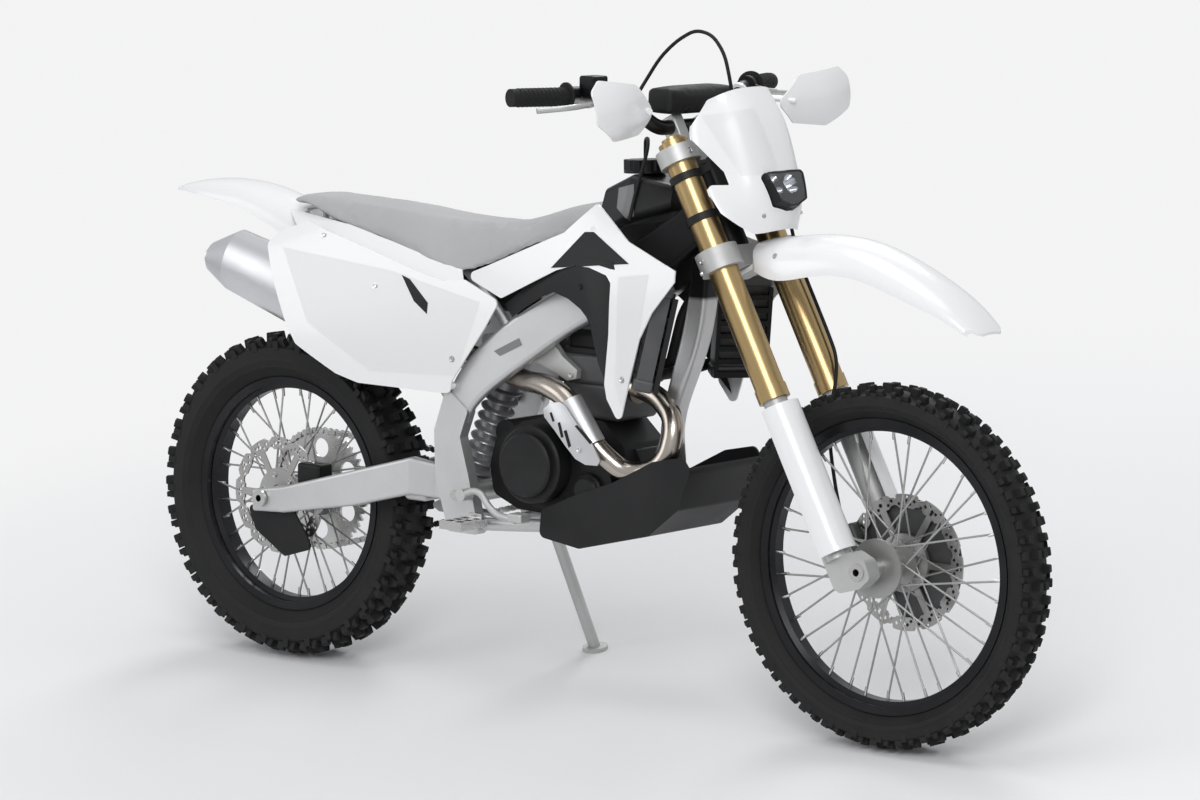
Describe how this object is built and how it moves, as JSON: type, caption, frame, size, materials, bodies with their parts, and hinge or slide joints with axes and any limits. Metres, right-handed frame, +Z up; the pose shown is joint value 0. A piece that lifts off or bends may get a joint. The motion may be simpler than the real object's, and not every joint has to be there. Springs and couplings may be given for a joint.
{
  "type": "motocross bike",
  "caption": "Off-road motorcycle with knobbly tyres, high mudguards, twin-spar frame and long fork, parked leaning on its side stand.",
  "frame": {"origin": "middle of the whole parked machine on the ground", "axes": "+X forward, +Y to the rider's left, +Z up from the ground"},
  "size_m": [2.1592, 0.8162, 1.3148],
  "materials": {
    "tyre": "matt",
    "black_rim": "satin anodised",
    "alloy": "satin",
    "gold_alloy": "gold anodised",
    "steel": "brushed",
    "black_metal": "satin",
    "black_plastic": "matt",
    "white_plastic": "gloss",
    "rubber": "matt",
    "seat_cover": "matt vinyl",
    "lamp_glass": "clear over reflectors"
  },
  "bodies": {
    "front_wheel": {"front_tyre": "tyre", "front_rim": "black_rim", "front_hub": "alloy", "front_disc": "steel"},
    "rear_wheel": {"rear_tyre": "tyre", "rear_rim": "black_rim", "rear_hub": "alloy", "rear_disc": "steel", "rear_sprocket": "steel"},
    "chassis": {"frame_main": "alloy", "subframe": "black_metal", "swingarm": "alloy", "chassis_axles": "steel", "chain": "steel", "engine_cases": "black_metal", "engine_covers": "black_metal", "cylinder": "black_metal", "head_cover": "black_metal", "throttle_body": "black_metal", "airbox": "black_plastic", "coolant_hoses": "rubber", "exhaust_header": "steel", "exhaust_shield": "steel", "muffler": "steel", "seat": "seat_cover", "fuel_tank": "black_plastic", "side_panels": "white_plastic", "shrouds": "white_plastic", "radiators": "black_plastic", "louvres": "black_plastic", "rear_fender": "white_plastic", "skid_plate": "black_plastic", "shock": "steel", "foot_pegs": "black_metal", "foot_controls": "steel", "rear_brake": "black_metal", "breather_hose": "rubber"},
    "stand": {"side_stand": "alloy"},
    "steering": {"lower_clamp": "alloy", "upper_clamp": "alloy", "fork_uppers": "gold_alloy", "fork_lowers": "alloy", "fork_guards": "white_plastic", "front_axle": "alloy", "front_brake": "black_metal", "front_fender": "white_plastic", "headlight_mask": "white_plastic", "headlamp": "lamp_glass", "mask_bracket": "black_plastic", "handlebar": "black_metal", "bar_clamps": "alloy", "bar_pad": "rubber", "grips": "rubber", "hand_levers": "black_metal", "hand_guards": "white_plastic", "brake_hose": "rubber"}
  },
  "joints": [
    {"name": "steering", "type": "hinge", "parent": "chassis", "child": "steering", "pos_m": [0.39973, -0.06566, 0.83504], "axis": [-0.4695, 0.1609, 0.8682], "range_deg": [-42, 42]},
    {"name": "front_wheel_spin", "type": "hinge", "parent": "steering", "child": "front_wheel", "pos_m": [0.73439, -0.15707, 0.34184], "axis": [0, 0.9833, -0.1822], "continuous": true},
    {"name": "rear_wheel_spin", "type": "hinge", "parent": "chassis", "child": "rear_wheel", "pos_m": [-0.74561, -0.15907, 0.33102], "axis": [0, 0.9833, -0.1822], "continuous": true},
    {"name": "side_stand_fold", "type": "hinge", "parent": "chassis", "child": "stand", "pos_m": [-0.19761, -0.01574, 0.29225], "axis": [0, 0.9869, 0.1614], "range_deg": [0, 98]}
  ]
}
